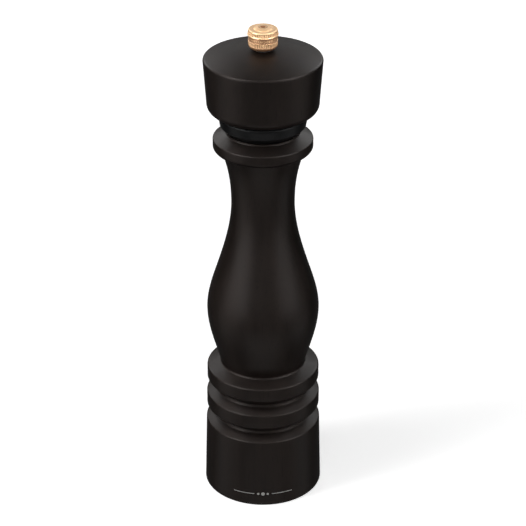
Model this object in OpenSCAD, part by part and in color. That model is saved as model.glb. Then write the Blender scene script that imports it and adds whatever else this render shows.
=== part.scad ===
// Tall turned pepper mill: a wooden body and head around one square spindle,
// with a steel burr pair in the base and a metal adjuster knob on top.
// Millimetres, +Z up, origin at the centre of the foot on the table.

/* [Turned body] */
// Radius of the foot
base_r = 36.5; // [36:0.1:38]
// Radius at the top of the base band
base_top_r = 35.4; // [34.6:0.1:35.8]
// Height of the base band
base_h = 45.7; // [44:0.1:48]
// Radius of the lower ring
lower_ring_r = 35; // [34:0.1:36]
// Height of the lower ring's band
lower_ring_h = 9.5; // [8.5:0.1:10.5]
// Radius of the upper ring
upper_ring_r = 34.6; // [33.5:0.1:36]
// Height of the upper ring's band
upper_ring_h = 8.9; // [8:0.1:10]
// Height of each groove beside a ring
groove_h = 9.5; // [8.5:0.1:10.5]
// Radius at the bottom of the grooves
groove_r = 28.6; // [27:0.1:30]
// Radius of the hollow where a shoulder meets the bottom of a groove
hollow_r = 2.2; // [1:0.1:2.6]
// Radius of the waist under the belly
waist_r = 26; // [25:0.1:28]
// Largest radius of the belly
belly_r = 34.2; // [32:0.1:36]
// Height of the belly's widest line above the waist
belly_rise = 36.5; // [34:0.1:39]
// Smallest radius of the neck
neck_r = 19; // [18.5:0.1:21]
// Height of the narrow neck above the belly's widest line
neck_rise = 71.3; // [68:0.1:75]
// Radius of the flange at the mouth
flange_r = 29.7; // [28:0.1:31]
// Radius of the mouth's lip
lip_r = 22; // [21.5:0.1:23]

/* [Pepper store] */
// Radius of the bore that holds the peppercorns
store_r = 13; // [12:0.1:13.5]
// Radius of the seat for the neck bush
mouth_r = 18; // [17.5:0.1:18.5]

/* [Turned head] */
// Radius where the head meets its collar
head_foot_r = 26.6; // [26:0.1:28]
// Radius under the head's flared side
head_side_r = 33.1; // [32:0.1:34]
// Radius of the shoulder, the widest line of the head
head_r = 35; // [34:0.1:36]
// Height of the head from its foot to its shoulder
head_h = 31.8; // [30:0.1:33]
// Radius of the shoulder's round edge
shoulder_r = 1.8; // [1.2:0.1:3]
// Slope of the crown where it leaves the shoulder, in degrees
crown_slope = 17; // [10:1:20]
// Largest radius of the black collar
collar_r = 26.4; // [26:0.1:27]

/* [Adjuster knob] */
// Radius of the knob's bright ring
knob_r = 9.1; // [9:0.1:10]
// Height of the knob
knob_h = 13.45; // [12.5:0.05:14]
// Number of ribs around each ribbed band
rib_count = 50; // [30:1:60]
// Depth of the ribs
rib_depth = 0.3; // [0.2:0.05:0.5]

/* [Spindle and burrs] */
// Side of the square spindle
spindle_w = 6; // [5.5:0.1:6.2]
// Radius of the spindle's threaded end
thread_r = 2.5; // [2.2:0.1:2.6]
// Pitch of the thread, which is the burr's travel for one turn of the knob
thread_pitch = 0.8; // [0.7:0.05:1]
// Outer radius of the fixed burr
stator_r = 17; // [16.5:0.1:17.5]
// Gap between the burrs, measured outwards from the axis
burr_gap = 0.4; // [0.35:0.05:0.6]
// Number of fine teeth on each burr
tooth_count = 30; // [20:1:36]
// Number of coarse teeth on each burr
breaker_count = 6; // [4:1:8]

/* [Hidden] */
$fn = 96;

// Colours
stained_wood = "#231a16";
black_plastic = "#141414";
copper = "#c08d63";
steel = "#9a9c9e";
aluminium = "#c4c6c8";
nylon = "#e6e2d6";

// Heights along the body
lower_ring_z = base_h + groove_h;
lower_ring_top = lower_ring_z + lower_ring_h;
upper_ring_z = lower_ring_top + groove_h;
upper_ring_top = upper_ring_z + upper_ring_h;
waist_z = upper_ring_top + 3.7;
belly_z = waist_z + belly_rise;
neck_z = belly_z + neck_rise;
flange_under_z = neck_z + 33.6;
flange_z = flange_under_z + 3.6;
flange_top_z = flange_z + 5;
rim_z = flange_top_z + 4.3;

// Heights along the head and the knob
collar_z = rim_z + 0.1;
collar_top_z = collar_z + 11.9;
head_z = collar_top_z + 0.1;
head_side_z = head_z + 5.4;
shoulder_z = head_z + head_h;
crown_edge = [head_r - shoulder_r * (1 - sin(crown_slope)), shoulder_z + shoulder_r * cos(crown_slope)];
crown_ball_r = crown_edge[0] / sin(crown_slope);
crown_z = crown_edge[1] + crown_ball_r * (1 - cos(crown_slope));
washer_h = 0.5;
washer_seat_z = crown_z - 0.2;
knob_z = washer_seat_z + washer_h;
knob_top_z = knob_z + knob_h;

// Heights inside the base
recess_z = 4.5;
plate_h = 1.2;
housing_z = recess_z + plate_h;
housing_flange_h = 3;
housing_top_z = 36;
pocket_top_z = 38;
stator_h = 15;
burr_z = housing_z + 0.6;
burr_h = 15.2;
burr_top_z = burr_z + burr_h;
spring_washer_h = 0.8;
spring_z = burr_top_z + spring_washer_h;
bridge_z = 31;
bush_flange_h = 1.25;
spring_top_z = bridge_z - bush_flange_h - 0.05;

// Radii inside the base
recess_r = 26;
plate_r = 25.6;
barrel_r = 19.8;
pocket_r = 20;
screw_circle_r = 22.4;
screw_count = 3;
hub_r = 8;
bush_r = 5.5;
running_gap = 0.05;

// Burr cones: radius against height, widening downwards over the fine teeth
throat_r = 12.4;
fine_h = 5;
fine_slope = 0.4;
tooth_depth = 0.5;
breaker_depth = 2.2;

// Points of an arc around a centre, from angle a to angle b in n steps
function arc(centre, r, a, b, n = 6) = oval(centre, r, r, a, b, n);

// Points of an elliptical arc, rx wide and rz high
function oval(centre, rx, rz, a, b, n = 6) =
    [for (i = [0:n]) let (t = a + (b - a) * i / n) centre + [rx * cos(t), rz * sin(t)]];

// Smooth curve between two points of a turned outline, given its slope at each end
function flow(p, p_slope, q, q_slope, n = 12) =
    [for (i = [0:n]) let (t = i / n, h = q[1] - p[1])
        [(2 * t * t * t - 3 * t * t + 1) * p[0] + (t * t * t - 2 * t * t + t) * h * p_slope
         + (3 * t * t - 2 * t * t * t) * q[0] + (t * t * t - t * t) * h * q_slope, p[1] + t * h]];

// Hollow between a shoulder that slopes up from point p and the wall above the corner
function hollow(p, corner, r) =
    let (slope = atan2(corner[1] - p[1], p[0] - corner[0]))
    arc([corner[0] + r, corner[1] + r * tan(45 - slope / 2)], r, 270 - slope, 180, 4);

// Band of a ring with its lower and upper edges rounded
function ring_band(r, z, top) =
    concat(arc([r - 0.8, z + 0.8], 0.8, -45, 0, 3), arc([r - 1.2, top - 1.2], 1.2, 0, 66, 4));

// Solid turned from an outline of [radius, height] points that starts and ends on the axis
module turned(points) {
    rotate_extrude() polygon(points);
}

// Hollow ring between two radii
module tube(outer, inner, z, h) {
    translate([0, 0, z]) difference() {
        cylinder(r = outer, h = h);
        translate([0, 0, -1]) cylinder(r = inner, h = h + 2);
    }
}

// Upright bore from height z to height top
module bore(r, z, top) {
    translate([0, 0, z]) cylinder(r = r, h = top - z);
}

// Square hole for the spindle, with play on each side
module square_bore(z, top, play) {
    w = spindle_w + 2 * play;
    translate([-w / 2, -w / 2, z]) cube([w, w, top - z]);
}

// Copies of a shape spaced evenly around the axis
module around(count, start = 0) {
    for (i = [0:count - 1]) rotate(start + i * 360 / count) children();
}

// Wood screw pointing up, its countersunk head at the origin, with a slot across it
module wood_screw(r, head_r, length) {
    difference() {
        turned([[0, 0], [head_r, 0], [r, head_r - r], [r, length - 2 * r], [0.2, length], [0, length]]);
        translate([-head_r - 1, -0.35, -1]) cube([2 * head_r + 2, 0.7, 1.8]);
    }
}

// Hole that a wood screw fits into, from height z
module screw_hole(r, z, length) {
    translate([0, 0, z]) cylinder(r = r + 0.1, h = length);
}

module body() {
    outline = concat(
        [[0, 0]],
        arc([base_r - 0.8, 0.8], 0.8, -90, 0, 3),
        arc([base_top_r - 1.2, base_h - 1.2], 1.2, 0, 66, 4),
        hollow([base_top_r, base_h], [groove_r, base_h + 3], hollow_r),
        ring_band(lower_ring_r, lower_ring_z, lower_ring_top),
        hollow([lower_ring_r, lower_ring_top], [groove_r, lower_ring_top + 2.9], hollow_r),
        ring_band(upper_ring_r, upper_ring_z, upper_ring_top),
        hollow([upper_ring_r, upper_ring_top], [waist_r, upper_ring_top + 2.6], 1.4),
        flow([waist_r, waist_z], 0.3, [belly_r, belly_z], 0),
        flow([belly_r, belly_z], 0, [27.3, belly_z + 29.7], -0.316),
        flow([27.3, belly_z + 29.7], -0.316, [neck_r, neck_z], 0),
        flow([neck_r, neck_z], 0, [23.5, neck_z + 30.4], 0.33),
        [[24.4, flange_under_z]],
        oval([24.4, flange_z], flange_r - 24.4, flange_z - flange_under_z, -75, 0, 5),
        arc([flange_r - 1, flange_top_z - 1], 1, 0, 66, 4),
        hollow([flange_r, flange_top_z], [lip_r, rim_z - 0.9], 0.9),
        arc([lip_r - 0.2, rim_z - 0.2], 0.2, 0, 90, 2),
        [[0, rim_z]]);
    color(stained_wood) difference() {
        turned(outline);
        bore(recess_r, -1, housing_z + housing_flange_h);
        bore(pocket_r, 0, pocket_top_z);
        bore(store_r, 0, rim_z + 1);
        bore(mouth_r, rim_z - 9.2, rim_z + 1);
        around(screw_count) translate([screw_circle_r, 0, 0]) screw_hole(1.3, housing_z, 14);
    }
}

module neck_bush() {
    color(nylon) tube(mouth_r - 0.05, 16, rim_z - 9.15, 9.05);
}

module grinder_housing() {
    top = housing_z + stator_h + 0.3;
    color(black_plastic) difference() {
        union() {
            bore(plate_r, housing_z, housing_z + housing_flange_h);
            bore(barrel_r, housing_z, housing_top_z);
        }
        bore(stator_r + running_gap, housing_z - 1, top);
        bore(stator_r - 1.2, housing_z, bridge_z);
        bore(17.65, bridge_z, housing_top_z + 1);
        around(screw_count) translate([screw_circle_r, 0, 0]) screw_hole(1.5, housing_z - 1, 6);
        around(3, 60) translate([stator_r - 1, -1.6, housing_z - 1]) cube([2.3, 3.2, 9.1]);
    }
}

module mounting_plate() {
    color(steel) difference() {
        bore(plate_r, recess_z, housing_z);
        bore(15.6, 0, 10);
        around(screw_count) translate([screw_circle_r, 0, recess_z - 0.01])
            cylinder(r1 = 2.75, r2 = 1.5, h = plate_h + 0.02);
    }
}

module housing_screws() {
    color(aluminium) around(screw_count)
        translate([screw_circle_r, 0, recess_z]) wood_screw(1.3, 2.5, 13);
}

// Cross-section of one groove between two teeth, cut inwards to a depth
module groove_section(half_w, depth) {
    polygon([[-half_w, 1], [half_w, 1], [half_w * 0.4, -depth], [-half_w * 0.4, -depth]]);
}

// Groove that follows a cone from radius r0 at height z0 to radius r1 at height z1
module cone_groove(r0, z0, r1, z1, half_w, depth) {
    translate([r0, 0, z0]) rotate([0, atan((r1 - r0) / (z1 - z0)), 0])
        translate([0, 0, -1.5]) linear_extrude(norm([r1 - r0, z1 - z0]) + 3)
            rotate(-90) groove_section(half_w, depth);
}

module outer_burr() {
    low_r = throat_r + fine_h * fine_slope + burr_gap;
    mid_r = throat_r + burr_gap;
    top_r = stator_r - 1.4;
    z1 = housing_z + fine_h;
    z2 = housing_z + stator_h;
    color(steel) difference() {
        union() {
            bore(stator_r, housing_z, z2);
            around(3, 60) translate([stator_r - 1, -1.5, housing_z]) cube([2.2, 3, 8]);
        }
        turned([[0, housing_z - 1], [low_r + fine_slope, housing_z - 1], [mid_r, z1],
                [mid_r, z1 + 1], [top_r, z2 - 1], [top_r, z2 + 1], [0, z2 + 1]]);
        around(tooth_count) mirror([1, 0, 0])
            cone_groove(-low_r, housing_z, -mid_r, z1, 0.65, tooth_depth);
        around(breaker_count, 7) mirror([1, 0, 0])
            cone_groove(-mid_r - 0.3, z1 + 3, -top_r, z2, 1.8, 0.9);
    }
}

module bearing_bridge() {
    color(black_plastic) difference() {
        union() {
            tube(17.6, 14.4, bridge_z + 1, housing_top_z - bridge_z - 1);
            bore(hub_r, bridge_z, housing_top_z + 1);
            around(3) translate([0, -1.6, bridge_z + 1]) cube([15, 3.2, 4]);
        }
        bore(bush_r + running_gap, bridge_z - 1, housing_top_z + 2);
    }
}

module spindle_bush() {
    color(nylon) difference() {
        union() {
            bore(bush_r, spring_top_z, housing_top_z + 1.6);
            bore(7.3, spring_top_z, spring_top_z + bush_flange_h);
        }
        square_bore(spring_top_z - 1, housing_top_z + 3, running_gap);
    }
}

// Round wire wound as a spring between two heights
module coil_spring(mean_r, wire_r, z, top, turns) {
    sides = 8;
    steps = 16 * turns;
    rise = (top - z - 2 * wire_r) / steps;
    points = [for (i = [0:steps], j = [0:sides - 1])
        let (a = i * 360 / 16, b = j * 360 / sides, r = mean_r + wire_r * cos(b))
        [r * cos(a), r * sin(a), z + wire_r + i * rise + wire_r * sin(b)]];
    walls = [for (i = [0:steps - 1], j = [0:sides - 1]) let (k = (j + 1) % sides)
        [i * sides + j, (i + 1) * sides + j, (i + 1) * sides + k, i * sides + k]];
    ends = [[for (j = [0:sides - 1]) j], [for (j = [sides - 1:-1:0]) steps * sides + j]];
    polyhedron(points, concat(walls, ends));
}

module burr_spring() {
    color(aluminium) coil_spring(6, 0.5, spring_z, spring_top_z, 4);
}

module spring_washer() {
    color(steel) tube(7.4, 4.6, burr_top_z, spring_washer_h);
}

module inner_burr() {
    low_r = throat_r + (housing_z + fine_h - burr_z) * fine_slope;
    z1 = housing_z + fine_h;
    top_r = 7.8;
    color(steel) difference() {
        turned([[0, burr_z], [low_r, burr_z], [throat_r, z1], [throat_r - 0.5, z1 + 0.6],
                [top_r, burr_top_z - 1], [top_r - 0.6, burr_top_z], [0, burr_top_z]]);
        around(tooth_count, 5)
            cone_groove(low_r, burr_z, throat_r, z1, 0.6, tooth_depth);
        around(breaker_count) cone_groove(throat_r + 0.4, z1 + 2.4, top_r, burr_top_z, 2.4, breaker_depth);
        square_bore(burr_z - 1, burr_top_z + 1, running_gap);
    }
}

module burr_washer() {
    color(steel) tube(6.5, 3, burr_z - 1, 1);
}

module spindle_clip() {
    color(aluminium) difference() {
        bore(4.6, burr_z - 1.8, burr_z - 1);
        bore(2.25, 0, burr_z);
        translate([-1.9, -6, 0]) cube([3.8, 6, 10]);
    }
}

module spindle() {
    end_z = burr_z - 2.7;
    square_top = head_z + 32.5;
    thread_top = knob_top_z - 3.6;
    ridges = floor((thread_top - square_top - 2) / thread_pitch);
    color(aluminium) union() {
        difference() {
            square_bore(burr_z, square_top, 0);
            translate([0, 0, square_top - 1]) difference() {
                cylinder(r = spindle_w, h = 2);
                translate([0, 0, -0.01]) cylinder(r1 = spindle_w * 0.72, r2 = spindle_w * 0.55, h = 2.1);
            }
        }
        turned(concat([[0, end_z], [2.4, end_z], [2.9, end_z + 0.5], [2.9, burr_z - 1.85],
                       [2.2, burr_z - 1.85], [2.2, burr_z - 0.95], [2.9, burr_z - 0.95],
                       [2.9, burr_z + 1], [0, burr_z + 1]]));
        turned(concat([[0, square_top], [thread_r - 0.35, square_top], [thread_r - 0.35, square_top + 1]],
            [for (i = [0:ridges - 1], side = [0, 1])
                [thread_r - 0.35 * (1 - side), square_top + 1 + (i + side / 2) * thread_pitch]],
            [[thread_r - 0.35, square_top + 1 + ridges * thread_pitch], [1.5, thread_top - 0.5],
             [1.5, thread_top + 1], [0, thread_top + 1]]));
    }
}

module head() {
    outline = concat(
        [[0, head_z]],
        [[head_foot_r - 0.9, head_z]],
        oval([head_foot_r, head_side_z], head_side_r - head_foot_r, head_side_z - head_z, -90, 0, 8),
        arc([head_r - shoulder_r, shoulder_z], shoulder_r, 0, 90 - crown_slope, 6),
        arc([0, crown_z - crown_ball_r], crown_ball_r, 90 - crown_slope * 0.92, 90, 12));
    color(stained_wood) difference() {
        turned(outline);
        bore(mouth_r + 0.05, head_z - 1, head_z + 8.1);
        bore(4.9, head_z, head_z + 34);
        bore(5.05, head_z + 33.5, crown_z + 1);
        bore(6, washer_seat_z, crown_z + 1);
        around(2) translate([10, 0, 0]) screw_hole(1.2, head_z + 8, 6);
    }
}

module neck_collar() {
    outline = concat(
        [[0, collar_z], [lip_r - 0.8, collar_z], [collar_r - 1.4, collar_z + 3.6]],
        arc([collar_r - 1.6, collar_z + 4.3], 0.7, -30, 0, 3),
        arc([collar_r - 1.4, collar_top_z - 2.4], 1.4, 0, 60, 4),
        [[collar_r - 1.2, collar_top_z - 0.8], [collar_r - 1.2, collar_top_z], [mouth_r, collar_top_z],
         [mouth_r, collar_top_z + 8], [0, collar_top_z + 8]]);
    color(black_plastic) difference() {
        union() {
            turned(outline);
            bore(16 - running_gap, collar_z - 7.6, collar_z + 1);
        }
        bore(13.2, collar_z - 8, collar_z + 5.6);
        bore(4.9, collar_z, head_z + 10);
        around(2) translate([10, 0, 0]) screw_hole(1.2, collar_z + 5, 20);
    }
}

module drive_plate() {
    color(steel) difference() {
        bore(12.8, collar_z + 4.4, collar_z + 5.6);
        square_bore(collar_z, collar_z + 8, 0.08);
        around(2) translate([10, 0, collar_z + 4.39]) cylinder(r1 = 2.45, r2 = 1.3, h = 1.22);
    }
}

module drive_plate_screws() {
    color(aluminium) around(2) translate([10, 0, collar_z + 4.4]) wood_screw(1.2, 2.2, 20);
}

module top_bush() {
    color(steel) tube(5, thread_r + 0.1, head_z + 34.1, washer_seat_z - head_z - 34.1);
}

module knob_washer() {
    color(black_plastic) tube(4.5, thread_r + 0.1, washer_seat_z, washer_h - 0.02);
}

// Band of upright ribs around the knob
module rib_band(r, z, top) {
    step = 180 / rib_count;
    star = [for (i = [0:2 * rib_count - 1])
        let (ray = r - (i % 2) * rib_depth) [ray * cos(i * step), ray * sin(i * step)]];
    translate([0, 0, z]) linear_extrude(top - z) polygon(star);
}

module adjuster_knob() {
    body_r = knob_r - 0.5;
    core_r = body_r - rib_depth - 0.1;
    bowl_z = knob_z + 3.1;
    lower_band_top = bowl_z + 2.4;
    ring_z = knob_top_z - 4.2;
    edge_z = knob_top_z - 1.3;
    disc_r = 5.2;
    disc_rise = 0.9;
    disc_ball_r = (pow(disc_r, 2) + pow(disc_rise, 2)) / (2 * disc_rise);
    color(copper) difference() {
        union() {
            turned(concat([[0, knob_z], [4.7, knob_z], [4.7, knob_z + 0.4], [5.2, knob_z + 0.4]],
                oval([5.2, bowl_z], body_r - 5.2, bowl_z - knob_z - 0.4, -80, 0, 6),
                [[body_r, bowl_z + 0.15], [core_r, bowl_z + 0.15], [core_r, lower_band_top - 0.05],
                 [body_r - 0.1, lower_band_top - 0.05], [body_r - 0.1, ring_z - 0.4]],
                arc([knob_r - 0.5, ring_z], 0.5, -60, 60, 4),
                [[core_r, ring_z + 0.5], [core_r, edge_z - 0.45], [body_r, edge_z - 0.45]],
                arc([body_r - 0.3, edge_z - 0.3], 0.3, 0, 80, 3),
                [[disc_r + 0.2, edge_z + 0.2]],
                arc([0, knob_top_z - disc_ball_r], disc_ball_r, 90 - asin(disc_r / disc_ball_r), 90, 8)));
            rib_band(body_r - 0.02, bowl_z + 0.1, lower_band_top);
            rib_band(body_r - 0.02, ring_z + 0.3, edge_z - 0.4);
        }
        bore(thread_r + running_gap, knob_z - 1, knob_top_z - 3.4);
        bore(1.6, knob_z, knob_top_z + 1);
    }
}

body();
neck_bush();
grinder_housing();
mounting_plate();
housing_screws();
outer_burr();
bearing_bridge();
spindle_bush();
burr_spring();
spring_washer();
inner_burr();
burr_washer();
spindle_clip();
spindle();
head();
neck_collar();
drive_plate();
drive_plate_screws();
top_bush();
knob_washer();
adjuster_knob();
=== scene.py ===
"""Looks of the turned pepper mill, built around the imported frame. Metres, +Z up."""
import math

import bpy
from mathutils import Euler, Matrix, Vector


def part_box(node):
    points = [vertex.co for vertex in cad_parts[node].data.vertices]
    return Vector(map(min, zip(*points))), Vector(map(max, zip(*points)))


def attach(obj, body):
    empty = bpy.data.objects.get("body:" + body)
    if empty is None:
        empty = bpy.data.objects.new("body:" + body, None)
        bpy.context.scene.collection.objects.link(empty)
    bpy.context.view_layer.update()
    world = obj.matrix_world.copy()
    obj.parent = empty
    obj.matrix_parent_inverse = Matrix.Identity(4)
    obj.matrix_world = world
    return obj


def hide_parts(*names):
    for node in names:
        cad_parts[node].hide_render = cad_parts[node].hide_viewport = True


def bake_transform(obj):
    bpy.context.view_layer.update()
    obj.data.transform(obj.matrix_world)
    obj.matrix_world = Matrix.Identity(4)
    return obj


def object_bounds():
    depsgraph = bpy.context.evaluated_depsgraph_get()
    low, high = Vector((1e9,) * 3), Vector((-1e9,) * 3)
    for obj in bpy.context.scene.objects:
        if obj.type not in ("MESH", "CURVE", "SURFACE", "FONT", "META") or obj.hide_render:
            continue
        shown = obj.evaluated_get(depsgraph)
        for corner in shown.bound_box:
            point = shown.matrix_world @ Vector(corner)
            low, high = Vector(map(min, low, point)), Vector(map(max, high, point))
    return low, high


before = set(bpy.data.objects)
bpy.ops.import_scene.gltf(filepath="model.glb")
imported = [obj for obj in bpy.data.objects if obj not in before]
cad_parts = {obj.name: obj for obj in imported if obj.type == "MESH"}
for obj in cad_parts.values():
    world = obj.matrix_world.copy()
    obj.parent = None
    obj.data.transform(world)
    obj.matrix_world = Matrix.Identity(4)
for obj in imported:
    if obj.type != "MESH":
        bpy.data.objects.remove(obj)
cad_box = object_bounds()
MM = 0.001
ROUND = 192                      # steps around every turned piece


# ---------------------------------------------------------------- outlines, in millimetres

def oval(centre, rx, rz, start, end, steps):
    """Points of an elliptical arc between two angles in degrees."""
    angles = [math.radians(start + (end - start) * i / steps) for i in range(steps + 1)]
    return [(centre[0] + rx * math.cos(a), centre[1] + rz * math.sin(a)) for a in angles]


def arc(centre, radius, start, end, steps=8):
    """Points of a round arc between two angles in degrees."""
    return oval(centre, radius, radius, start, end, steps)


def flow(low, low_slope, high, high_slope):
    """Smooth curve between two outline points, with the radius' slope given at each end."""
    steps = 40
    rise = high[1] - low[1]
    points = []
    for i in range(steps + 1):
        t = i / steps
        r = ((2 * t**3 - 3 * t**2 + 1) * low[0] + (t**3 - 2 * t**2 + t) * rise * low_slope
             + (3 * t**2 - 2 * t**3) * high[0] + (t**3 - t**2) * rise * high_slope)
        points.append((r, low[1] + t * rise))
    return points


def line(a, b, steps):
    """Evenly spaced points between two outline points, without the first."""
    return [(a[0] + (b[0] - a[0]) * i / steps, a[1] + (b[1] - a[1]) * i / steps)
            for i in range(1, steps + 1)]


# ---------------------------------------------------------------- mesh helpers

def new_mesh(name, verts, faces, sharp=40):
    """Smooth-shaded object in the scene, whose edges over sharp degrees stay crisp."""
    mesh = bpy.data.meshes.new(name)
    mesh.from_pydata(verts, [], faces)
    mesh.validate()
    mesh.update()
    mesh.shade_smooth()
    mesh.set_sharp_from_angle(angle=math.radians(sharp))
    obj = bpy.data.objects.new(name, mesh)
    bpy.context.scene.collection.objects.link(obj)
    return obj


def turned(name, outline, steps=ROUND, radius_at=None, sharp=40):
    """Closed ring mesh turned from a closed outline of (radius, height) points in millimetres.
    radius_at(r, z, angle) may change the radius, for ribs."""
    change = radius_at or (lambda r, z, a: r)
    count = len(outline)
    verts = []
    for k in range(steps):
        a = 2 * math.pi * k / steps
        for r, z in outline:
            q = change(r, z, a) * MM
            verts.append((q * math.cos(a), q * math.sin(a), z * MM))
    faces = []
    for k in range(steps):
        n = (k + 1) % steps
        for i in range(count):
            j = (i + 1) % count
            faces.append((k * count + i, n * count + i, n * count + j, k * count + j))
    return new_mesh(name, verts, faces, sharp)


def finish_piece(obj, body, material, slot, *nodes):
    """Gives a piece its material and its body, and hides the CAD nodes that it stands for."""
    obj.data.materials.clear()
    obj.data.materials.append(material)
    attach(obj, body)
    if nodes:
        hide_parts(*nodes)


# ---------------------------------------------------------------- materials

class Shader:
    """Small helper that makes and links nodes of one material."""

    def __init__(self, name, **sockets):
        self.material = bpy.data.materials.new(name)
        self.material.use_nodes = True
        self.tree = self.material.node_tree
        self.surface = self.tree.nodes["Principled BSDF"]
        for socket, value in sockets.items():
            self.surface.inputs[socket.replace("_", " ")].default_value = value
        self.place = self.tree.nodes.new("ShaderNodeTexCoord").outputs["Object"]

    def node(self, kind, inputs=None, **settings):
        made = self.tree.nodes.new("ShaderNode" + kind)
        for key, value in settings.items():
            setattr(made, key, value)
        for key, value in (inputs or {}).items():
            if isinstance(value, bpy.types.NodeSocket):
                self.tree.links.new(value, made.inputs[key])
            else:
                made.inputs[key].default_value = value
        return made

    def stretched(self, scale):
        """Object coordinates scaled per axis, so a texture runs along the piece."""
        return self.node("Mapping", {"Vector": self.place, "Scale": scale}).outputs[0]

    def noise(self, vector, scale, detail=4, rough=0.5):
        made = self.node("TexNoise", {"Vector": vector, "Scale": scale, "Detail": detail, "Roughness": rough})
        return made.outputs["Fac"]

    def remap(self, value, low, high, out_low, out_high):
        made = self.node("MapRange", {"Value": value, "From Min": low, "From Max": high,
                                      "To Min": out_low, "To Max": out_high})
        return made.outputs["Result"]

    def math(self, operation, a, b):
        return self.node("Math", {0: a, 1: b}, operation=operation).outputs[0]

    def mix(self, factor, a, b):
        made = self.node("Mix", {"Factor": factor, "A": a, "B": b}, data_type="RGBA")
        return made.outputs["Result"]

    def link(self, value, socket):
        self.tree.links.new(value, self.surface.inputs[socket])

    def bump(self, height, strength, distance):
        made = self.node("Bump", {"Height": height, "Strength": strength, "Distance": distance})
        self.link(made.outputs["Normal"], "Normal")


def colour(r, g, b):
    """Opaque colour for a shader socket."""
    return (r, g, b, 1.0)


def stained_wood():
    """Near-black stain under a satin lacquer: the grain runs up the piece and barely shows, and the
    lathe has left faint rings on the faces that look up or down."""
    s = Shader("stained_wood", IOR=1.18)
    fibres = s.noise(s.stretched((1, 1, 0.03)), 900, 5, 0.6)
    bands = s.noise(s.stretched((1, 1, 0.12)), 70, 3, 0.55)
    pores = s.remap(s.noise(s.stretched((1, 1, 0.045)), 1700, 2, 0.4), 0.62, 0.72, 0, 1)
    tone = s.remap(bands, 0.35, 0.68, 0, 1)
    stain = s.mix(tone, colour(0.0098, 0.0066, 0.0054), colour(0.0150, 0.0102, 0.0082))
    flecked = s.mix(s.math("MULTIPLY", fibres, 0.3), stain, colour(0.022, 0.014, 0.011))
    s.link(s.mix(s.math("MULTIPLY", pores, 0.5), flecked, colour(0.004, 0.003, 0.0026)), "Base Color")
    gloss = s.remap(s.math("ADD", bands, s.math("MULTIPLY", fibres, 0.4)), 0.5, 0.9, 0.38, 0.46)
    s.link(gloss, "Roughness")
    flat = s.stretched((1, 1, 0))
    from_axis = s.node("VectorMath", {0: flat}, operation="LENGTH").outputs["Value"]
    lathe = s.noise(s.node("CombineXYZ", {"X": from_axis}).outputs[0], 1500, 2)
    relief = s.math("SUBTRACT", s.math("MULTIPLY", fibres, 0.35), pores)
    s.bump(s.math("ADD", relief, s.math("MULTIPLY", lathe, 1.1)), 0.2, 0.00005)
    return s.material


def collar_plastic():
    """Smooth black moulding with a soft shine and a few fine wiping marks."""
    s = Shader("collar_plastic", IOR=1.17)
    cloud = s.noise(s.place, 90, 3)
    s.link(s.mix(cloud, colour(0.0060, 0.0062, 0.0066), colour(0.0085, 0.0088, 0.0094)), "Base Color")
    wiped = s.noise(s.stretched((0.15, 0.15, 1)), 800, 2)
    s.link(s.remap(s.math("ADD", cloud, wiped), 0.7, 1.3, 0.33, 0.42), "Roughness")
    s.bump(s.noise(s.place, 2600, 2), 0.05, 0.00003)
    return s.material


def moulded_plastic(name, dark, light, rough):
    """Fine-grained matt moulding."""
    s = Shader(name, IOR=1.49)
    s.link(s.mix(s.noise(s.place, 160, 3), dark, light), "Base Color")
    fine = s.noise(s.place, 1800, 3)
    s.link(s.remap(fine, 0.3, 0.7, rough - 0.06, rough + 0.08), "Roughness")
    s.bump(fine, 0.15, 0.00004)
    return s.material


def turned_metal(name, dark, light, rough, ring_scale=2400, shine=1.0):
    """Metal with the fine rings of the lathe: texture changes with height and radius only.
    A lower shine stands for a satin finish that scatters part of the light."""
    s = Shader(name, Metallic=shine)
    rings = s.noise(s.stretched((0.04, 0.04, 1)), ring_scale, 2)
    cloud = s.noise(s.place, 220, 3)
    s.link(s.mix(cloud, dark, light), "Base Color")
    s.link(s.remap(s.math("ADD", cloud, rings), 0.7, 1.3, rough - 0.04, rough + 0.06), "Roughness")
    s.bump(rings, 0.08, 0.00002)
    return s.material


def drawn_metal():
    """Aluminium bar with fine lines along its length."""
    s = Shader("drawn_aluminium", Metallic=1.0)
    lines = s.noise(s.stretched((1, 1, 0.02)), 2600, 3)
    cloud = s.noise(s.place, 120, 3)
    s.link(s.mix(cloud, colour(0.56, 0.57, 0.58), colour(0.74, 0.75, 0.76)), "Base Color")
    s.link(s.remap(lines, 0.3, 0.7, 0.28, 0.44), "Roughness")
    s.bump(lines, 0.12, 0.00004)
    return s.material


WOOD = stained_wood()
COLLAR = collar_plastic()
PLASTIC = moulded_plastic("black_nylon", colour(0.012, 0.012, 0.013), colour(0.02, 0.02, 0.021), 0.55)
NYLON = moulded_plastic("natural_nylon", colour(0.66, 0.63, 0.55), colour(0.78, 0.76, 0.68), 0.45)
COPPER = turned_metal("copper", colour(0.82, 0.52, 0.27), colour(0.90, 0.61, 0.34), 0.42, shine=0.35)
# Darker, less shiny copy of the copper for the knob's bowl, rib grooves, scale ground and hole: painted
# shade.
COPPER_PAINTED_SHADE = turned_metal("copper_painted_shade", colour(0.36, 0.18, 0.085), colour(0.46, 0.25, 0.13), 0.44,
                           shine=0.5)
STEEL = turned_metal("zinc_steel", colour(0.42, 0.43, 0.44), colour(0.60, 0.61, 0.62), 0.34, 1500)
BURR = turned_metal("burr_steel", colour(0.16, 0.16, 0.165), colour(0.30, 0.30, 0.305), 0.46, 900)
ALUMINIUM = drawn_metal()
PRINT = moulded_plastic("silver_print", colour(0.42, 0.42, 0.40), colour(0.52, 0.52, 0.50), 0.5)


# ---------------------------------------------------------------- turned body

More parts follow.
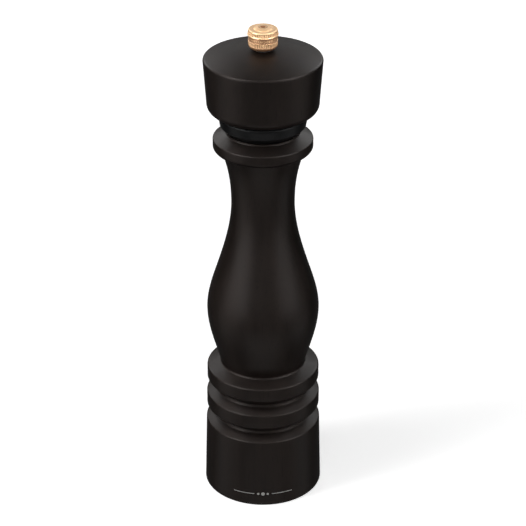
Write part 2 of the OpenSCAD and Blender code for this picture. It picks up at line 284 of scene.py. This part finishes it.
BASE_R, BASE_TOP_R, BASE_H = 36.5, 35.4, 45.7
LOWER_RING_R, LOWER_RING_Z, LOWER_RING_TOP = 35.0, 55.2, 64.7
UPPER_RING_R, UPPER_RING_Z, UPPER_RING_TOP = 34.6, 74.2, 83.1
LOW_ROUND, TOP_ROUND = 0.8, 1.2  # edge radius under a band, and at the edge of the shoulder above it
BASE_RISE, LOWER_RISE, UPPER_RISE = 3.0, 2.9, 2.6    # how far each shoulder slopes up to its wall
GROOVE_R, HOLLOW_R, WAIST_HOLLOW_R = 28.6, 2.2, 1.4
WAIST, WAIST_SLOPE = (26.0, 86.8), 0.3
BELLY = (34.2, 123.3)
MIDDLE, MIDDLE_SLOPE = (27.3, 153.0), -0.316
NECK = (19.0, 194.6)
NECK_TOP, NECK_TOP_SLOPE = (23.5, 225.0), 0.33
FLANGE_R, FLANGE_ROOT_R = 29.7, 24.4
FLANGE_UNDER_Z, FLANGE_Z, FLANGE_TOP_Z = 228.2, 231.8, 236.8
LIP_R, LIP_H, RIM_Z = 22.0, 0.9, 241.1
MOUTH_R, MOUTH_DEPTH = 18.0, 9.2         # seat of the neck bush
STORE_R, STORE_Z = 13.0, 38.0            # bore that holds the peppercorns, down to the grinder
GRINDER_R, RECESS_R, RECESS_H = 20.0, 26.0, 8.7
BORE_EDGE = 0.4                          # bevel at both ends of the store


def shoulder(edge_r, edge_z, wall_r, rise, hollow_r, edge_round=TOP_ROUND):
    """Rounded outer edge, sloping top and hollow root of the step between a ring and the wall above."""
    outer = arc((edge_r - edge_round, edge_z - edge_round), edge_round, 0, 66)
    slope = math.atan2(rise, edge_r - wall_r)
    centre = (wall_r + hollow_r, edge_z + rise + hollow_r * math.tan(math.pi / 4 - slope / 2))
    hollow = arc(centre, hollow_r, 270 - math.degrees(slope), 180, 10)
    return outer + line(outer[-1], hollow[0], 8)[:-1] + hollow


def turned_body():
    outline = (
        arc((BASE_R - LOW_ROUND, LOW_ROUND), LOW_ROUND, -90, 0)
        + line((BASE_R, LOW_ROUND), (BASE_TOP_R, BASE_H - TOP_ROUND), 12)[:-1]
        + shoulder(BASE_TOP_R, BASE_H, GROOVE_R, BASE_RISE, HOLLOW_R)
        + arc((LOWER_RING_R - LOW_ROUND, LOWER_RING_Z + LOW_ROUND), LOW_ROUND, -45, 0)
        + shoulder(LOWER_RING_R, LOWER_RING_TOP, GROOVE_R, LOWER_RISE, HOLLOW_R)
        + arc((UPPER_RING_R - LOW_ROUND, UPPER_RING_Z + LOW_ROUND), LOW_ROUND, -45, 0)
        + shoulder(UPPER_RING_R, UPPER_RING_TOP, WAIST[0], UPPER_RISE, WAIST_HOLLOW_R)
        + flow(WAIST, WAIST_SLOPE, BELLY, 0)[1:]
        + flow(BELLY, 0, MIDDLE, MIDDLE_SLOPE)[1:]
        + flow(MIDDLE, MIDDLE_SLOPE, NECK, 0)[1:]
        + flow(NECK, 0, NECK_TOP, NECK_TOP_SLOPE)[1:]
        + line(NECK_TOP, (FLANGE_ROOT_R, FLANGE_UNDER_Z - 0.1), 3)
        + oval((FLANGE_ROOT_R, FLANGE_Z), FLANGE_R - FLANGE_ROOT_R, FLANGE_Z - FLANGE_UNDER_Z, -84, 0, 14)
        + shoulder(FLANGE_R, FLANGE_TOP_Z, LIP_R, RIM_Z - LIP_H - FLANGE_TOP_Z, LIP_H, 1.0)
        + arc((LIP_R - 0.2, RIM_Z - 0.2), 0.2, 0, 90, 4)
        + [(MOUTH_R + 0.3, RIM_Z), (MOUTH_R, RIM_Z - 0.3), (MOUTH_R, RIM_Z - MOUTH_DEPTH),
           (STORE_R + BORE_EDGE, RIM_Z - MOUTH_DEPTH), (STORE_R, RIM_Z - MOUTH_DEPTH - BORE_EDGE),
           (STORE_R, STORE_Z + BORE_EDGE), (STORE_R + BORE_EDGE, STORE_Z),
           (GRINDER_R, STORE_Z), (GRINDER_R, RECESS_H),
           (RECESS_R, RECESS_H), (RECESS_R, 0.6), (RECESS_R + 0.6, 0)])
    wood = turned("turned_body", outline)
    finish_piece(wood, "body", WOOD, "stained_wood", "body")


# ---------------------------------------------------------------- turned head and collar

HEAD_Z, HEAD_FOOT_R = 253.2, 26.6
HEAD_SIDE_R, HEAD_SIDE_Z = 33.1, 258.6
HEAD_R, SHOULDER_Z, SHOULDER_R = 35.0, 285.0, 1.8
CROWN_SLOPE = math.radians(17)           # where the crown leaves the shoulder
BORE_R = 4.9                             # hole for the spindle
BUSH_R, BUSH_Z = 5.05, HEAD_Z + 33.5     # seat of the top bush
SOCKET_R, SOCKET_H = 18.05, 8.1          # socket for the collar's plug
COLLAR_R, COLLAR_Z, COLLAR_H = 26.4, 241.2, 11.9
SPIGOT_R, SPIGOT_BORE_R, SPIGOT_H = 15.95, 13.2, 7.6
PLUG_R, PLUG_H = 18.0, 8.0


def turned_head():
    crown_edge_r = HEAD_R - SHOULDER_R * (1 - math.sin(CROWN_SLOPE))
    ball_r = crown_edge_r / math.sin(CROWN_SLOPE)
    edge_z = SHOULDER_Z + SHOULDER_R * math.cos(CROWN_SLOPE)
    crown_z = edge_z + ball_r * (1 - math.cos(CROWN_SLOPE))
    crown_start = 90 - math.degrees(CROWN_SLOPE)
    crown_end = 90 - math.degrees(math.asin(6.2 / ball_r))
    outline = (
        [(HEAD_FOOT_R - 0.9, HEAD_Z)]
        + oval((HEAD_FOOT_R, HEAD_SIDE_Z), HEAD_SIDE_R - HEAD_FOOT_R, HEAD_SIDE_Z - HEAD_Z, -90, 0, 20)
        + line((HEAD_SIDE_R, HEAD_SIDE_Z), (HEAD_R, SHOULDER_Z), 12)[:-1]
        + arc((HEAD_R - SHOULDER_R, SHOULDER_Z), SHOULDER_R, 0, crown_start, 14)
        + arc((0, crown_z - ball_r), ball_r, crown_start, crown_end, 30)[1:]
        + [(6.0, crown_z - 0.2), (BUSH_R, crown_z - 0.2), (BUSH_R, BUSH_Z), (BORE_R, BUSH_Z),
           (BORE_R, HEAD_Z + SOCKET_H), (SOCKET_R, HEAD_Z + SOCKET_H), (SOCKET_R, HEAD_Z)])
    wood = turned("turned_head", outline)
    finish_piece(wood, "head", WOOD, "stained_wood", "head")


def neck_collar():
    top = COLLAR_Z + COLLAR_H
    pocket_z = COLLAR_Z + 5.6
    edge_z = COLLAR_Z + 4.3
    outline = (
        [(SPIGOT_BORE_R, COLLAR_Z - SPIGOT_H + 0.3), (SPIGOT_BORE_R + 0.3, COLLAR_Z - SPIGOT_H),
         (SPIGOT_R - 0.3, COLLAR_Z - SPIGOT_H), (SPIGOT_R, COLLAR_Z - SPIGOT_H + 0.3), (SPIGOT_R, COLLAR_Z)]
        + [(LIP_R - 0.9, COLLAR_Z), (LIP_R - 0.7, COLLAR_Z + 0.1)]
        + line((LIP_R - 0.7, COLLAR_Z + 0.1), (COLLAR_R - 1.45, edge_z - 0.75), 4)
        + arc((COLLAR_R - 1.6, edge_z), 0.7, -40, 0, 6)
        + line((COLLAR_R - 0.9, edge_z), (COLLAR_R, top - 2.4), 4)[:-1]
        + arc((COLLAR_R - 1.4, top - 2.4), 1.4, 0, 70, 10)
        + [(COLLAR_R - 1.2, top - 0.9), (COLLAR_R - 1.2, top), (PLUG_R, top), (PLUG_R, top + PLUG_H),
           (BORE_R, top + PLUG_H), (BORE_R, pocket_z), (SPIGOT_BORE_R, pocket_z)])
    collar = turned("collar", outline)
    finish_piece(collar, "head", COLLAR, "collar_plastic", "neck_collar")


# ---------------------------------------------------------------- adjuster knob

KNOB_Z, KNOB_TOP = 292.05, 305.5
KNOB_R, BAND_R = 9.1, 8.6
RIBS, RIB_DEPTH = 50, 0.26
SCALE_BARS = 24                  # raised bars in each half of the grind scale
DISC_R, DISC_RISE = 5.2, 0.8     # raised disc in the middle of the knob's top
KNOB_FOOT_R = 4.7
THREAD_R, HOLE_R, HOLE_DEPTH = 2.55, 1.6, 3.4
BAND_DEPTH = 0.25                # how far the band of the grind scale lies behind the ribs
BOWL_Z = KNOB_Z + 3.1            # top of the bowl under the knob
LOWER_TOP = BOWL_Z + 2.4         # top of the lower ribs
RING_Z = KNOB_TOP - 4.4          # middle of the bright ring
EDGE_Z = KNOB_TOP - 1.2          # upper edge of the knob's side
RIBBED = ((BOWL_Z - 0.2, LOWER_TOP), (RING_Z + 0.5, EDGE_Z - 0.7))


def rib_wave(angle):
    """0 on the crest of a rib and 1 at the bottom of the groove beside it."""
    return (0.5 - 0.5 * math.cos(RIBS * angle))**1.5


def rib_rule(low, high):
    """Radius rule that cuts upright grooves between rounded ribs into the heights from low to high."""
    def rule(r, z, angle):
        if r < 7.0 or not low <= z <= high:
            return r
        fade = min(1, (z - low) / 0.25, (high - z) / 0.25)
        return r - RIB_DEPTH * max(0, fade) * rib_wave(angle)
    return rule


def scale_rule(low, high):
    """Radius rule that raises the bars of the grind scale, which grow from fine to coarse."""
    middle, reach = (low + high) / 2, (high - low) / 2

    def rule(r, z, angle):
        if not low <= z <= high:
            return r
        turn = (angle / math.pi) % 1 * SCALE_BARS
        size = 0.25 + 0.4 * math.floor(turn) / SCALE_BARS
        inside = abs(turn % 1 - 0.5) < 0.24 and abs(z - middle) < reach * size
        return r + 0.14 * inside
    return rule


def adjuster_knob():
    ball_r = (DISC_R**2 + DISC_RISE**2) / (2 * DISC_RISE)
    disc_edge = math.degrees(math.asin(DISC_R / ball_r))
    scale_r = BAND_R - BAND_DEPTH
    rules = [rib_rule(*RIBBED[0]), rib_rule(*RIBBED[1]), scale_rule(LOWER_TOP + 0.2, RING_Z - 0.5)]

    def rule(r, z, angle):
        for one in rules:
            r = one(r, z, angle)
        return r

    outline = (
        [(THREAD_R, KNOB_Z + 0.2), (THREAD_R + 0.2, KNOB_Z), (KNOB_FOOT_R - 0.2, KNOB_Z),
         (KNOB_FOOT_R, KNOB_Z + 0.2), (KNOB_FOOT_R, KNOB_Z + 0.4)]
        + oval((5.0, BOWL_Z), BAND_R - 5.0, BOWL_Z - KNOB_Z - 0.4, -88, 0, 22)
        + line((BAND_R, BOWL_Z), (BAND_R, LOWER_TOP - 0.05), 10)
        + [(BAND_R - 0.12, LOWER_TOP + 0.03), (scale_r, LOWER_TOP + 0.1)]
        + line((scale_r, LOWER_TOP + 0.1), (scale_r, RING_Z - 0.5), 36)
        + arc((KNOB_R - 0.5, RING_Z), 0.5, -70, 60, 10)
        + line((KNOB_R - 0.2, RING_Z + 0.46), (BAND_R + 0.02, EDGE_Z - 0.75), 14)
        + arc((BAND_R - 0.75, EDGE_Z - 0.65), 0.75, 4, 84, 10)
        + [(DISC_R + 0.45, EDGE_Z + 0.2), (DISC_R + 0.2, EDGE_Z + 0.14), (DISC_R, EDGE_Z + 0.3)]
        + arc((0, KNOB_TOP - ball_r), ball_r, 90 - disc_edge, 83, 16)
        + [(HOLE_R + 0.02, KNOB_TOP - 0.1), (HOLE_R, KNOB_TOP - 0.16),
           (HOLE_R, KNOB_TOP - HOLE_DEPTH), (THREAD_R, KNOB_TOP - HOLE_DEPTH)])
    knob = turned("knob", outline, steps=RIBS * 12, radius_at=rule, sharp=50)
    finish_piece(knob, "knob", COPPER, "copper_metal", "adjuster_knob")
    # The recessed faces take the darker copper copy, which paints their shade.
    knob.data.materials.append(COPPER_PAINTED_SHADE)
    for face in knob.data.polygons:
        face.material_index = int(gets_painted_shade(*(v / MM for v in face.center)))


def gets_painted_shade(x, y, z):
    """True for the bowl, the grooves between ribs, the ground of the scale and the hole, which get the darker
    copper as painted shade.
    """
    r, groove = math.hypot(x, y), rib_wave(math.atan2(y, x))
    in_groove = r > 8 and groove > 0.45 and any(low + 0.1 < z < high - 0.1 for low, high in RIBBED)
    in_band = LOWER_TOP < z < RING_Z - 0.45 and r < BAND_R - 0.17
    in_hole = r < 2.6 and z < KNOB_TOP - 0.12
    return z < BOWL_Z - 0.2 or in_groove or in_band or in_hole


# ---------------------------------------------------------------- print on the foot

PRINT_Z = 8.4                    # height of the middle of the printed mark
PRINT_LINE = (5.5, 19.0)         # where each line starts and ends, measured around the foot
PRINT_DOTS = ((-3.0, 0.75), (0, 1.15), (3.0, 0.75))       # place around the foot, and radius
PRINT_HALF = 0.22                # half the thickness of a line


def wrapped_strip(columns):
    """Vertices and faces of a thin layer laid around the foot, from columns of (along, low, high)."""
    verts, faces = [], []
    for along, low, high in columns:
        for z, proud in ((low, -0.02), (high, -0.02), (high, 0.05), (low, 0.05)):
            climb = (z - LOW_ROUND) / (BASE_H - LOW_ROUND - TOP_ROUND)
            r = BASE_R + (BASE_TOP_R - BASE_R) * climb + proud
            turn = along / BASE_R
            verts.append((r * MM * math.sin(turn), -r * MM * math.cos(turn), z * MM))
    for c in range(0, len(verts) - 4, 4):
        faces += [(c + k, c + (k + 1) % 4, c + 4 + (k + 1) % 4, c + 4 + k) for k in range(4)]
    last = len(verts) - 4
    return verts, faces + [(3, 2, 1, 0), (last, last + 1, last + 2, last + 3)]


def foot_print():
    """Plain mark of two lines and three dots."""
    start, end = PRINT_LINE
    strips = []
    for side in (-1, 1):
        stops = [start + (end - start) * i / 18 for i in range(19)]
        strips.append([(side * a, PRINT_Z - PRINT_HALF, PRINT_Z + PRINT_HALF) for a in stops])
    for middle, radius in PRINT_DOTS:
        angles = [math.radians(170 - 8 * i) for i in range(21)]
        strips.append([(middle + radius * math.cos(a), PRINT_Z - radius * math.sin(a),
                        PRINT_Z + radius * math.sin(a)) for a in angles])
    verts, faces = [], []
    for strip in strips:
        more_verts, more_faces = wrapped_strip(strip)
        faces += [tuple(v + len(verts) for v in face) for face in more_faces]
        verts += more_verts
    marks = new_mesh("foot_print", verts, faces, 30)
    finish_piece(marks, "body", PRINT, "collar_plastic")


# ---------------------------------------------------------------- burr spring

SPRING_R, WIRE_R, SPRING_TURNS = 6.0, 0.5, 4
WIRE_SIDES, TURN_STEPS = 12, 48


def burr_spring():
    """Coil of round wire that spans the height of the CAD spring's box."""
    low, high = (corner[2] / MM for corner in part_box("burr_spring"))
    steps = SPRING_TURNS * TURN_STEPS
    rise = (high - low - 2 * WIRE_R) / steps
    verts, faces = [], []
    for i in range(steps + 1):
        a = 2 * math.pi * i / TURN_STEPS
        for j in range(WIRE_SIDES):
            b = 2 * math.pi * j / WIRE_SIDES
            r, z = SPRING_R + WIRE_R * math.cos(b), low + WIRE_R * (1 + math.sin(b)) + i * rise
            verts.append((r * MM * math.cos(a), r * MM * math.sin(a), z * MM))
    last = steps * WIRE_SIDES
    for i in range(0, last, WIRE_SIDES):
        for j in range(WIRE_SIDES):
            k = (j + 1) % WIRE_SIDES
            faces.append((i + j, i + WIRE_SIDES + j, i + WIRE_SIDES + k, i + k))
    faces += [tuple(range(WIRE_SIDES)), tuple(last + j for j in reversed(range(WIRE_SIDES)))]
    spring = new_mesh("burr_spring_coil", verts, faces)
    spring.data.materials.append(STEEL)
    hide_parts("burr_spring")
    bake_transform(spring)


# ---------------------------------------------------------------- carried-over CAD nodes

CAD_FINISH = {
    "neck_bush": NYLON, "grinder_housing": PLASTIC, "mounting_plate": STEEL, "housing_screws": STEEL,
    "outer_burr": BURR, "bearing_bridge": PLASTIC, "spindle_bush": NYLON,
    "spring_washer": STEEL, "inner_burr": BURR, "burr_washer": STEEL, "spindle_clip": STEEL,
    "spindle": ALUMINIUM, "drive_plate": STEEL, "drive_plate_screws": STEEL, "top_bush": STEEL,
    "knob_washer": PLASTIC,
}


def finish_cad_nodes():
    """Gives the CAD nodes that stay in view their own procedural materials."""
    for name, material in CAD_FINISH.items():
        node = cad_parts[name]
        node.data.materials.clear()
        node.data.materials.append(material)


# ---------------------------------------------------------------- floor, light and camera

FLOOR_HALF, FLOOR_Z = 6.0, -0.1 * MM


def floor():
    """White sweep, lit from inside like a light table, that only the key light's shadow darkens."""
    s = Shader("floor_paper", Roughness=0.9, Specular_IOR_Level=0.0, Emission_Strength=0.72)
    s.link(s.mix(s.noise(s.place, 30, 2), colour(0.90, 0.90, 0.90), colour(0.92, 0.92, 0.92)), "Base Color")
    s.surface.inputs["Emission Color"].default_value = colour(1, 1, 1)
    corners = [(x * FLOOR_HALF, y * FLOOR_HALF, FLOOR_Z) for x, y in ((-1, -1), (1, -1), (1, 1), (-1, 1))]
    sheet = new_mesh("floor", corners, [(0, 1, 2, 3)])
    sheet.data.materials.append(s.material)
    sheet.visible_diffuse = False
    sheet.visible_glossy = False
    sheet.visible_shadow = False


def softbox(name, azimuth, elevation, width, height, power, shine=True, distance=1.5):
    """Rectangular lamp that faces the middle of the mill, with its size in metres and its power in watts.
    Azimuth 0 is the camera's side and 90 the right. With shine it lights reflections alone, and
    without it colours and shadows alone."""
    middle = (cad_box[0] + cad_box[1]) / 2
    a, e = math.radians(azimuth), math.radians(elevation)
    away = Vector((math.sin(a) * math.cos(e), -math.cos(a) * math.cos(e), math.sin(e)))
    data = bpy.data.lights.new(name, "AREA")
    data.shape = "RECTANGLE"
    data.size, data.size_y = width, height
    data.energy = power
    light = bpy.data.objects.new(name, data)
    light.location = middle + away * distance
    light.rotation_mode = "QUATERNION"
    light.rotation_quaternion = away.to_track_quat("Z", "Y")
    light.visible_camera = False
    light.visible_glossy = shine
    light.visible_diffuse = not shine
    bpy.context.scene.collection.objects.link(light)


def lighting():
    """Studio: softboxes whose reflections draw the edges and bellies, and a key lamp for the shadow."""
    world = bpy.data.worlds.new("studio")
    world.use_nodes = True
    world.node_tree.nodes["Background"].inputs["Color"].default_value = colour(1, 1, 1)
    world.cycles_visibility.diffuse = False
    world.cycles_visibility.glossy = False
    bpy.context.scene.world = world
    softbox("left_low", -56, 5, 1.25, 0.75, 20)
    softbox("left_high", -68, 46, 0.9, 1.0, 46)
    softbox("left_floor", -76, -30, 1.1, 0.8, 2.9)
    softbox("right_low", 56, 5, 1.25, 0.75, 14)
    softbox("right_high", 68, 46, 0.9, 1.0, 40)
    softbox("right_floor", 76, -30, 1.1, 0.8, 2.9)
    softbox("front_high", 0, 30, 1.7, 0.5, 8)
    softbox("front_floor", 0, -50, 1.7, 0.8, 8)
    softbox("back_floor", 180, -42, 2.8, 1.4, 1.1)
    softbox("back_wall", 180, 30, 1.2, 1.2, 3.2)
    softbox("back_left", -142, 30, 0.8, 0.9, 12)
    softbox("back_right", 142, 30, 0.8, 0.9, 12)
    softbox("back_fill", 180, 6, 0.8, 0.8, 6, shine=False)
    softbox("ceiling", 0, 88, 0.8, 0.8, 3)
    softbox("front_fill", 0, 6, 0.8, 0.8, 7, shine=False)
    softbox("key", -65, 60, 0.6, 2.6, 44, shine=False, distance=4.0)
    softbox("key_soft", -40, 66, 3.0, 3.0, 26, shine=False, distance=4.0)


CAMERA_DISTANCE, CAMERA_HEIGHT = 1.1131, 0.7429    # in front of the mill's axis, and above the floor
CAMERA_PITCH = 27.95             # degrees below the horizon
CAMERA_LENS = 142.08             # on a 36 mm sensor


def camera():
    data = bpy.data.cameras.new("camera")
    data.lens = CAMERA_LENS
    data.sensor_width = 36
    data.clip_start, data.clip_end = 0.05, 50
    cam = bpy.data.objects.new("camera", data)
    cam.location = (0, -CAMERA_DISTANCE, CAMERA_HEIGHT)
    cam.rotation_euler = Euler((math.radians(90 - CAMERA_PITCH), 0, 0))
    bpy.context.scene.collection.objects.link(cam)
    bpy.context.scene.camera = cam


camera()
lighting()
floor()
turned_body()
turned_head()
neck_collar()
adjuster_knob()
foot_print()
burr_spring()
finish_cad_nodes()
bpy.context.scene.view_settings.view_transform = "Standard"
